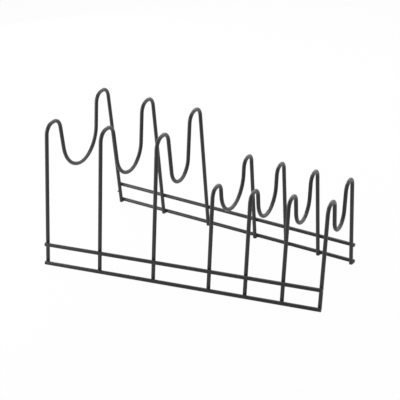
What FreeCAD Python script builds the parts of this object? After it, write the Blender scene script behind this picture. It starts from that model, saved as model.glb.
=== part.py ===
import FreeCAD, Part
import math
import os

# A welded wire plate rack. It stands on the floor z = 0, with its length along X (tall end at -X),
# its depth along Y (front at -Y) and x = 0 halfway between the two end dividers.
# Lengths are in millimetres. Wires are placed by their centrelines.

# Wire
steel_diameter = 4.0
coating_thickness = 0.1
weld_set_down = 0.5         # how far two crossing wires sink into each other at a weld
end_round = 0.4             # edge radius at every cut end, rounded over by the coating

# Dividers along the rack
tall_count = 3
short_count = 4
wide_pitch = 61.0           # from each tall divider to the next divider
narrow_pitch = 39.0         # between short dividers
wide_end_spread = 163.0     # between the two feet of the first tall divider
narrow_end_spread = 100.5   # between the two feet of the last short divider

# Divider outline, in the YZ plane
outer_lean = 7.0            # degrees that the outer legs lean in towards the top
crest_flat = 2.8            # short level run on top of each crest, between its two bends
tall_height = 155.5         # floor to the top of the crest
tall_crest_radius = 11.9    # both bends of a crest
tall_valley_height = 87.5   # floor to the centreline at the bottom of the valley
tall_inner_lean = 7.5       # degrees that the inner legs lean in towards the valley
short_height = 111.0
short_crest_radius = 8.9
short_valley_height = 68.0
short_inner_lean = 6.3

# Rails
upper_rail_height = 23.3    # floor to the centreline of the upper rails
wide_end_overhang = 1.0     # from the centreline of the first divider to the rails' ends
narrow_end_overhang = 2.8   # and from the centreline of the last divider

wire_diameter = steel_diameter + 2 * coating_thickness
wire_radius = wire_diameter / 2
tall = dict(height=tall_height, crest_radius=tall_crest_radius, valley_height=tall_valley_height,
            inner_lean=tall_inner_lean)
short = dict(height=short_height, crest_radius=short_crest_radius, valley_height=short_valley_height,
             inner_lean=short_inner_lean)

first_x = -(tall_count * wide_pitch + (short_count - 1) * narrow_pitch) / 2
last_x = -first_x


def divider_places():
    """Name, x and outline style of each divider, from the tall end to the short end."""
    places = []
    x = first_x
    for number in range(1, tall_count + 1):
        places.append((f"tall_divider_{number}", x, tall))
        x += wide_pitch
    for number in range(1, short_count + 1):
        places.append((f"short_divider_{number}", x, short))
        x += narrow_pitch
    return places


def half_spread(x):
    """Distance from the middle of the rack to a foot, which tapers evenly along the rack."""
    share = (x - first_x) / (last_x - first_x)
    return (wide_end_spread + share * (narrow_end_spread - wide_end_spread)) / 2


def in_plane(angle):
    """Unit vector of the YZ plane, at an angle in degrees from +Y towards +Z."""
    return FreeCAD.Vector(0, math.cos(math.radians(angle)), math.sin(math.radians(angle)))


def back_half_points(x, style):
    """Named points of the back half of a divider's centreline.

    Each straight run is tangent to the arcs that it joins, and that settles where the crest stands
    and how wide the valley's arc is.
    """
    radius = style["crest_radius"]
    out_angle = outer_lean
    in_angle = 180 - style["inner_lean"]
    up_angle = 90
    out = in_plane(out_angle)
    inward = in_plane(in_angle)
    up = in_plane(up_angle)
    bend_z = style["height"] - wire_radius - radius
    bend_y = half_spread(x) - (radius + bend_z * out.z) / out.y
    outer_bend = FreeCAD.Vector(x, bend_y, bend_z)
    inner_bend = FreeCAD.Vector(x, bend_y - crest_flat, bend_z)
    drop = bend_z - style["valley_height"]
    valley_radius = (-inner_bend.y * inward.y - radius - drop * inward.z) / (1 - inward.z)
    valley = FreeCAD.Vector(x, 0, style["valley_height"] + valley_radius)
    foot = FreeCAD.Vector(x, half_spread(x), 0)
    return dict(
        foot=foot - in_plane(out_angle + 90) * wire_diameter,
        leg_top=outer_bend + out * radius,
        outer_shoulder=outer_bend + in_plane((out_angle + up_angle) / 2) * radius,
        flat_outer=outer_bend + up * radius,
        flat_inner=inner_bend + up * radius,
        inner_shoulder=inner_bend + in_plane((up_angle + in_angle) / 2) * radius,
        inner_top=inner_bend + inward * radius,
        inner_foot=valley - inward * valley_radius,
        valley_bottom=valley - up * valley_radius,
    )


def line(start, end):
    return Part.LineSegment(start, end).toShape()


def arc(start, middle, end):
    return Part.Arc(start, middle, end).toShape()


def divider_path(x, style):
    """Centreline of a divider, from the front foot over both crests to the back foot.

    Both feet run on below the floor, for the trim.
    """
    back = back_half_points(x, style)
    front = {name: FreeCAD.Vector(p.x, -p.y, p.z) for name, p in back.items()}
    return Part.Wire([
        line(front["foot"], front["leg_top"]),
        arc(front["leg_top"], front["outer_shoulder"], front["flat_outer"]),
        line(front["flat_outer"], front["flat_inner"]),
        arc(front["flat_inner"], front["inner_shoulder"], front["inner_top"]),
        line(front["inner_top"], front["inner_foot"]),
        arc(front["inner_foot"], back["valley_bottom"], back["inner_foot"]),
        line(back["inner_foot"], back["inner_top"]),
        arc(back["inner_top"], back["inner_shoulder"], back["flat_inner"]),
        line(back["flat_inner"], back["flat_outer"]),
        arc(back["flat_outer"], back["outer_shoulder"], back["leg_top"]),
        line(back["leg_top"], back["foot"]),
    ])


def bent_wire(path):
    """Round wire swept along a path of tangent lines and arcs."""
    start_edge = path.Edges[0]
    start = start_edge.Vertexes[0].Point
    section = Part.Circle(start, start_edge.tangentAt(start_edge.FirstParameter), wire_radius)
    return path.makePipeShell([Part.Wire([section.toShape()])], True, False)


def trim_at_floor(solid):
    """Cuts a divider's feet flat, level with the floor, and rounds the cut edges over."""
    box = solid.BoundBox
    box.enlarge(wire_diameter)
    below = Part.makeBox(box.XLength, box.YLength, -box.ZMin, FreeCAD.Vector(box.XMin, box.YMin, box.ZMin))
    trimmed = solid.cut(below)
    rims = [edge for edge in trimmed.Edges if edge.BoundBox.ZMax < end_round / 10]
    return trimmed.makeFillet(end_round, rims)


def rail_offset():
    """Distance along Y from a leg's centreline to a rail's, at one height, where they are welded.

    The two wires lean across each other, so it is measured along their common normal.
    """
    leg = in_plane(90 + outer_lean)
    along = FreeCAD.Vector(last_x - first_x, half_spread(last_x) - half_spread(first_x), 0)
    normal = leg.cross(along).normalize()
    return (wire_diameter - weld_set_down) / abs(normal.y)


def rail(side, height):
    """Straight rail outside the legs on one side: +1 is the back and -1 the front."""
    leg_lean_in = height * math.tan(math.radians(outer_lean))
    ends = []
    for x in (first_x, last_x):
        y = side * (half_spread(x) - leg_lean_in + rail_offset())
        ends.append(FreeCAD.Vector(x, y, height))
    along = (ends[1] - ends[0]).normalize()
    start = ends[0] - along * wide_end_overhang
    length = (ends[1] - ends[0]).Length + wide_end_overhang + narrow_end_overhang
    blank = Part.makeCylinder(wire_radius, length, start, along)
    rims = [edge for edge in blank.Edges if isinstance(edge.Curve, Part.Circle)]
    return blank.makeFillet(end_round, rims)


def divider(x, style, rails):
    """One divider, with a shallow seat in its legs where each rail is welded into it."""
    solid = trim_at_floor(bent_wire(divider_path(x, style)))
    for crossing in rails:
        solid = solid.cut(crossing)
    return solid


def export(name, solid):
    if not solid.isValid() or len(solid.Solids) != 1:
        raise ValueError(f"{name} is not one sound solid")
    solid.Solids[0].exportStep(f"parts/{name}.step")


rails = {
    "front_lower_rail": rail(-1, wire_radius),
    "front_upper_rail": rail(-1, upper_rail_height),
    "back_lower_rail": rail(1, wire_radius),
    "back_upper_rail": rail(1, upper_rail_height),
}

os.makedirs("parts", exist_ok=True)
for name, solid in rails.items():
    export(name, solid)
for name, x, style in divider_places():
    export(name, divider(x, style, rails.values()))
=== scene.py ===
import math

import bmesh
import bpy
from mathutils import Matrix, Vector


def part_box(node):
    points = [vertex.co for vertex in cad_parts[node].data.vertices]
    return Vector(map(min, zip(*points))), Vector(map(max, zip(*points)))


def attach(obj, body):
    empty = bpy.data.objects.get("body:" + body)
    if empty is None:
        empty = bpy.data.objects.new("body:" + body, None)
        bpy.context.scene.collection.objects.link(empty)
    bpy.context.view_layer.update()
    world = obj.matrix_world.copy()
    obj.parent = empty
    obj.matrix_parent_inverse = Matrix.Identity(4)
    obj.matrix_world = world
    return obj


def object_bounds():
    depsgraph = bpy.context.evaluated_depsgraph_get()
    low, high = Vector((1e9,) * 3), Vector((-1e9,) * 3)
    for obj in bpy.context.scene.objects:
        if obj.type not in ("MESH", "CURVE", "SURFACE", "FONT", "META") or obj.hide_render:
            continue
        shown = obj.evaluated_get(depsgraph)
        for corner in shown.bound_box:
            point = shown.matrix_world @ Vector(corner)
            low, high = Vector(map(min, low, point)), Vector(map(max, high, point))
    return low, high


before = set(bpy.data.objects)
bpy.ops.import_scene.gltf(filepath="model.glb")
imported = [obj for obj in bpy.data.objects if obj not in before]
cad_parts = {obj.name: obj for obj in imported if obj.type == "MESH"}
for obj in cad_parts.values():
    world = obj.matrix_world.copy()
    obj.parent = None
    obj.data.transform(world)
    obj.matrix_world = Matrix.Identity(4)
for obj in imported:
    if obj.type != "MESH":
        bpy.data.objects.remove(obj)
cad_low, cad_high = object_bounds()

# The looks of a welded wire plate rack: its black powder coating, the metal of its welds and a white
# studio. Lengths are in metres. The rack stands on the floor z = 0, with its tall end at -X and its
# front at -Y.

# Camera. The image is taken as 400 by 400 pixels.
image_width = 400
focal_pixels = 1040.49
sensor_width = 36.0             # millimetres
camera_place = Vector((0.4264, -0.89433, 0.56328))
camera_azimuth = math.radians(25.755)
camera_elevation = math.radians(26.492)
camera_roll = math.radians(-0.815)
nearest_seen = 0.01
furthest_seen = 20

# Black powder coating, in linear colour. The two scales say how many blots or dimples go to a metre.
coat_black = (0.0045, 0.0045, 0.0047)
coat_grey = (0.0078, 0.0078, 0.008)
coat_roughness = (0.24, 0.4)
coat_ior = 1.58
mottling_scale = 90
mottling_detail = 4
peel_scale = 420
peel_detail = 3
peel_depth = 0.00008

# Wire
wire_radius = 0.0021
leg_lean = math.radians(7)      # of a divider's outer legs, towards the middle of the rack
sole_height = 0.00002           # what is lower than this on a divider is the flat end of a foot
surface_share = 0.999           # of the wire's radius, out to which its surface is followed

# Welds. A weld is a ring round the contact of two wires, with a face that shows and a hidden back.
weld_spread = 0.0012            # gap between the two wires that a weld fills at its rim
weld_bead = {                   # outward shift of the point that draws a weld's face out, for each rail
    "front_lower": 0.0007,
    "front_upper": 0,
    "back_lower": 0.002,
    "back_upper": 0,
}
weld_lip = 0.00012              # how far a weld goes on past its rim, inside the wire
weld_sink = 0.00009             # depth of that lip below the wire's surface
weld_root = 0.0006              # how far its back goes in from the rim, and into each wire
weld_inset = 0.0004             # kept free between a weld's rim and the sides of the rack's own box
weld_steps_round = 48
weld_steps_across = 8
search_steps = 40               # halvings in the search for a weld's rim
square_share = 0.001            # a direction with less than this along an axis counts as square to it

# Burr on the first tall divider's back leg
burr_height = 0.0157            # up the leg from the floor
burr_turn = math.radians(65)    # from -X towards the front
burr_tip = 0.00395              # from the leg's axis
burr_length = 0.003
burr_width = 0.0018
burr_steps_round = 32

# Floor, and the share of plain white that each kind of ray sees in place of its colour
floor_half_side = 3.0
floor_colour = (0.9, 0.9, 0.9)
floor_white = {"Is Camera Ray": 0.96, "Is Glossy Ray": 0.3, "Is Transmission Ray": 0.3}

# World: even grey light. Mirrored rays see a white backdrop behind and beside the rack in its place,
# which fades in between two values of the Y part of a ray's direction.
world_strength = 0.48
mirrored_white = {"Is Glossy Ray": 1, "Is Transmission Ray": 1}
backdrop_fade = (-0.6, 0.0)

# Studio light: each softbox has a name, a place, a side in metres and a power in watts
lamp_target = Vector((0, 0, 0.06))
softboxes = [
    ("left_front", (-0.5, -0.3, 0.24), 0.45, 2.0),
    ("left_back", (-0.6, 0.42, 0.42), 0.3, 0.6),
    ("left_low", (-0.7, 0.6, 0.2), 0.3, 1.6),
    ("top", (-0.05, 0.15, 0.6), 0.3, 0.6),
    ("back", (0.05, 0.75, 0.55), 0.5, 1.3),
    ("back_left", (-0.45, 0.8, 0.4), 0.4, 0.5),
    ("right_back", (0.5, 0.5, 0.4), 0.35, 0.5),
]


def make_camera():
    """Camera at the photograph's place, found from the rack's own outline."""
    forward = Vector((
        -math.sin(camera_azimuth) * math.cos(camera_elevation),
        math.cos(camera_azimuth) * math.cos(camera_elevation),
        -math.sin(camera_elevation),
    ))
    level_right = forward.cross(Vector((0, 0, 1))).normalized()
    level_up = level_right.cross(forward)
    right = math.cos(camera_roll) * level_right + math.sin(camera_roll) * level_up
    up = math.cos(camera_roll) * level_up - math.sin(camera_roll) * level_right
    data = bpy.data.cameras.new("camera")
    data.sensor_width = sensor_width
    data.lens = focal_pixels / image_width * sensor_width
    data.clip_start = nearest_seen
    data.clip_end = furthest_seen
    camera = bpy.data.objects.new("camera", data)
    place = Matrix((right, up, -forward)).transposed().to_4x4()
    place.translation = camera_place
    camera.matrix_world = place
    bpy.context.scene.collection.objects.link(camera)
    bpy.context.scene.camera = camera


def noise(nodes, links, place, scale, detail):
    """Socket with cloudy noise at a place."""
    texture = nodes.new("ShaderNodeTexNoise")
    texture.inputs["Scale"].default_value = scale
    texture.inputs["Detail"].default_value = detail
    links.new(place, texture.inputs["Vector"])
    return texture.outputs["Fac"]


def mapped(nodes, links, value, before, after):
    """Socket with a value moved from one range to another, each given as (lowest, highest)."""
    change = nodes.new("ShaderNodeMapRange")
    change.inputs["From Min"].default_value = before[0]
    change.inputs["From Max"].default_value = before[1]
    change.inputs["To Min"].default_value = after[0]
    change.inputs["To Max"].default_value = after[1]
    links.new(value, change.inputs["Value"])
    return change.outputs["Result"]


def multiply_add(nodes, links, value, factor, addend):
    """Socket with value * factor + addend, kept between 0 and 1. Each is a number or a socket."""
    result = nodes.new("ShaderNodeMath")
    result.operation = "MULTIPLY_ADD"
    result.use_clamp = True
    for slot, source in enumerate((value, factor, addend)):
        if isinstance(source, bpy.types.NodeSocket):
            links.new(source, result.inputs[slot])
        else:
            result.inputs[slot].default_value = source
    return result.outputs[0]


def white_share(nodes, links, shares):
    """Socket with the share of plain white that a ray sees, from the share for each kind of ray."""
    rays = nodes.new("ShaderNodeLightPath")
    total = 0
    for kind, share in shares.items():
        total = multiply_add(nodes, links, rays.outputs[kind], share, total)
    return total


def coating_material():
    """Satin black powder coating, faintly mottled in colour and gloss, with a fine orange peel."""
    material = bpy.data.materials.new("black_powder_coating")
    material.use_nodes = True
    nodes = material.node_tree.nodes
    links = material.node_tree.links
    shader = nodes["Principled BSDF"]
    shader.inputs["IOR"].default_value = coat_ior
    place = nodes.new("ShaderNodeTexCoord").outputs["Object"]
    mottling = noise(nodes, links, place, mottling_scale, mottling_detail)
    colour = nodes.new("ShaderNodeMix")
    colour.data_type = "RGBA"
    colour.inputs["A"].default_value = (*coat_black, 1)
    colour.inputs["B"].default_value = (*coat_grey, 1)
    links.new(mottling, colour.inputs["Factor"])
    links.new(colour.outputs["Result"], shader.inputs["Base Color"])
    roughness = mapped(nodes, links, mottling, (0, 1), coat_roughness)
    links.new(roughness, shader.inputs["Roughness"])
    bump = nodes.new("ShaderNodeBump")
    bump.inputs["Distance"].default_value = peel_depth
    links.new(noise(nodes, links, place, peel_scale, peel_detail), bump.inputs["Height"])
    links.new(bump.outputs["Normal"], shader.inputs["Normal"])
    return material


def floor_material():
    """White floor, which shows as white and keeps a faint shadow."""
    material = bpy.data.materials.new("white_floor")
    material.use_nodes = True
    nodes = material.node_tree.nodes
    links = material.node_tree.links
    nodes.clear()
    diffuse = nodes.new("ShaderNodeBsdfDiffuse")
    diffuse.inputs["Color"].default_value = (*floor_colour, 1)
    white = nodes.new("ShaderNodeEmission")
    mix = nodes.new("ShaderNodeMixShader")
    links.new(white_share(nodes, links, floor_white), mix.inputs["Fac"])
    links.new(diffuse.outputs[0], mix.inputs[1])
    links.new(white.outputs[0], mix.inputs[2])
    output = nodes.new("ShaderNodeOutputMaterial")
    links.new(mix.outputs[0], output.inputs["Surface"])
    return material


def make_floor():
    """Square floor, far wider than the rack."""
    half = floor_half_side
    corners = [(-half, -half, 0), (half, -half, 0), (half, half, 0), (-half, half, 0)]
    mesh = bpy.data.meshes.new("floor")
    mesh.from_pydata(corners, [], [(0, 1, 2, 3)])
    floor = bpy.data.objects.new("floor", mesh)
    floor.data.materials.append(floor_material())
    bpy.context.scene.collection.objects.link(floor)


def make_world():
    """White for the camera, the backdrop for mirrored rays, and even grey light for all others."""
    world = bpy.data.worlds.new("studio")
    bpy.context.scene.world = world
    world.use_nodes = True
    nodes = world.node_tree.nodes
    links = world.node_tree.links
    direction = nodes.new("ShaderNodeTexCoord").outputs["Generated"]
    parts = nodes.new("ShaderNodeSeparateXYZ")
    links.new(direction, parts.inputs[0])
    backdrop = mapped(nodes, links, parts.outputs["Y"], backdrop_fade, (0, 1))
    mirrored = white_share(nodes, links, mirrored_white)
    camera_ray = nodes.new("ShaderNodeLightPath").outputs["Is Camera Ray"]
    white = multiply_add(nodes, links, mirrored, backdrop, camera_ray)
    background = nodes["Background"]
    background.inputs["Color"].default_value = (1, 1, 1, 1)
    links.new(mapped(nodes, links, white, (0, 1), (world_strength, 1)), background.inputs["Strength"])


def make_softbox(name, place, side, power):
    """Square lamp that points at the middle of the rack."""
    data = bpy.data.lights.new(name, "AREA")
    data.size = side
    data.energy = power
    lamp = bpy.data.objects.new(name, data)
    lamp.location = place
    lamp.rotation_mode = "QUATERNION"
    lamp.rotation_quaternion = (lamp_target - Vector(place)).to_track_quat("-Z", "Y")
    bpy.context.scene.collection.objects.link(lamp)


def rail_line(rail):
    """A point on a rail's axis and the axis' direction, from the two ends of its wire."""
    low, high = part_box(rail.name)
    ends = []
    for end_x in (low.x, high.x):
        rim = [vertex.co for vertex in rail.data.vertices if abs(vertex.co.x - end_x) < wire_radius]
        ends.append(sum(rim, Vector()) / len(rim))
    return ends[0], (ends[1] - ends[0]).normalized()


def leg_line(divider, side):
    """A point on the axis of a divider's outer leg and the axis' direction.

    side is +1 for the back leg and -1 for the front leg.
    """
    low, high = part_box(divider.name)
    sole = []
    for vertex in divider.data.vertices:
        if vertex.co.z < sole_height and vertex.co.y * side > 0:
            sole.append(vertex.co.y)
    foot = Vector(((low.x + high.x) / 2, (min(sole) + max(sole)) / 2, 0))
    return foot, Vector((0, -side * math.sin(leg_lean), math.cos(leg_lean)))


def closest_points(first, second):
    """The two points where two lines, each a point and a direction, pass closest to each other."""
    first_point, first_way = first
    second_point, second_way = second
    gap = second_point - first_point
    across = first_way.cross(second_way)
    normal = across.normalized()
    along_first = gap.cross(second_way).dot(normal) / across.dot(normal)
    along_second = gap.cross(first_way).dot(normal) / across.dot(normal)
    return first_point + along_first * first_way, second_point + along_second * second_way


def room(place, way):
    """How far a point can move along a direction before it leaves the rack's own box."""
    distances = []
    for axis in range(3):
        if abs(way[axis]) > square_share:
            limit = cad_high[axis] if way[axis] > 0 else cad_low[axis]
            distances.append((limit - place[axis]) / way[axis])
    return min(distances)


def weld_section(leg_share, rail_share, distance, reach, bead):
    """Half section of a weld, as (out, up) places: out from the contact, up from leg axis to rail axis.

    leg_share and rail_share say how much of a step out goes across each wire, distance lies between
    the two axes, and reach is the furthest that the weld may go out. The face is a curve that leaves
    both wires along their own surfaces where bead is 0, and swells out more the larger bead is.
    """
    def leg_surface(out):
        return math.sqrt(wire_radius**2 - (out * leg_share)**2)

    def rail_surface(out):
        return distance - math.sqrt(wire_radius**2 - (out * rail_share)**2)

    inner = 0
    outer = min(reach, surface_share * wire_radius / max(leg_share, rail_share))
    for _ in range(search_steps):
        out = (inner + outer) / 2
        if rail_surface(out) - leg_surface(out) > weld_spread:
            outer = out
        else:
            inner = out
    leg_slope = -out * leg_share**2 / leg_surface(out)
    rail_slope = out * rail_share**2 / (distance - rail_surface(out))
    leg_rim = Vector((out, leg_surface(out)))
    rail_rim = Vector((out, rail_surface(out)))
    hollow = (rail_rim.y - leg_rim.y) / (rail_slope - leg_slope)
    pull = Vector((min(out - hollow + bead, 2 * reach - out), leg_rim.y - hollow * leg_slope))
    face = []
    for step in range(weld_steps_across + 1):
        share = step / weld_steps_across
        face.append((1 - share)**2 * leg_rim + 2 * share * (1 - share) * pull + share**2 * rail_rim)
    back = [
        rail_rim + Vector((weld_lip, weld_lip * rail_slope + weld_sink)),
        rail_rim + Vector((-weld_root, weld_root)),
        leg_rim + Vector((-weld_root, -weld_root)),
        leg_rim + Vector((weld_lip, weld_lip * leg_slope - weld_sink)),
    ]
    return face + back


def weld_mesh(leg, rail, bead):
    """Weld metal that fills the corner all round the place where a rail is sunk into a leg."""
    leg_point, rail_point = closest_points(leg, rail)
    up = (rail_point - leg_point).normalized()
    distance = (rail_point - leg_point).length
    contact = leg_point + up * distance / 2
    across_leg = up.cross(leg[1])
    across_rail = up.cross(rail[1])
    mesh = bmesh.new()
    rings = []
    for step in range(weld_steps_round):
        angle = 2 * math.pi * step / weld_steps_round
        out = math.cos(angle) * rail[1] + math.sin(angle) * across_rail
        leg_share = abs(out.dot(across_leg))
        rail_share = abs(out.dot(across_rail))
        reach = room(contact, out) - weld_inset
        section = weld_section(leg_share, rail_share, distance, reach, bead)
        rings.append([mesh.verts.new(leg_point + place.x * out + place.y * up) for place in section])
    for step, ring in enumerate(rings):
        following = rings[(step + 1) % weld_steps_round]
        for row in range(len(ring)):
            below = (row + 1) % len(ring)
            mesh.faces.new((ring[row], following[row], following[below], ring[below]))
    bmesh.ops.recalc_face_normals(mesh, faces=mesh.faces)
    return mesh


def burr_mesh(leg):
    """Small lump of metal left on a leg between its two rails: a ball drawn out to the burr's size."""
    around = Vector((-math.cos(burr_turn), -math.sin(burr_turn), 0))
    centre = leg[0] + leg[1] * burr_height + around * (burr_tip - burr_length / 2)
    size = Matrix.Diagonal((burr_width, burr_width, burr_length, 1))
    turn = around.to_track_quat("Z", "Y").to_matrix().to_4x4()
    mesh = bmesh.new()
    steps_up = burr_steps_round // 2
    bmesh.ops.create_uvsphere(mesh, u_segments=burr_steps_round, v_segments=steps_up, radius=0.5)
    bmesh.ops.transform(mesh, matrix=Matrix.Translation(centre) @ turn @ size, verts=mesh.verts)
    return mesh


def add_piece(name, mesh, material):
    """Adds a smooth piece of the rack's own metal to the scene."""
    for face in mesh.faces:
        face.smooth = True
    data = bpy.data.meshes.new(name)
    mesh.to_mesh(data)
    mesh.free()
    data.materials.append(material)
    piece = bpy.data.objects.new(name, data)
    bpy.context.scene.collection.objects.link(piece)
    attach(piece, "root")


coating = coating_material()
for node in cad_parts.values():
    node.data.materials.clear()
    node.data.materials.append(coating)

dividers = {name: node for name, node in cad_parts.items() if "divider" in name}
for name, divider in dividers.items():
    for side_name, side in (("front", -1), ("back", 1)):
        leg = leg_line(divider, side)
        for level in ("lower", "upper"):
            place = f"{side_name}_{level}"
            rail = rail_line(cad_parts[f"{place}_rail"])
            add_piece(f"weld_{name}_{place}", weld_mesh(leg, rail, weld_bead[place]), coating)
burr_leg = leg_line(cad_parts["tall_divider_1"], 1)
add_piece("weld_burr", burr_mesh(burr_leg), coating)

make_camera()
make_floor()
make_world()
for name, place, side, power in softboxes:
    make_softbox(name, place, side, power)
bpy.context.scene.view_settings.view_transform = "Standard"
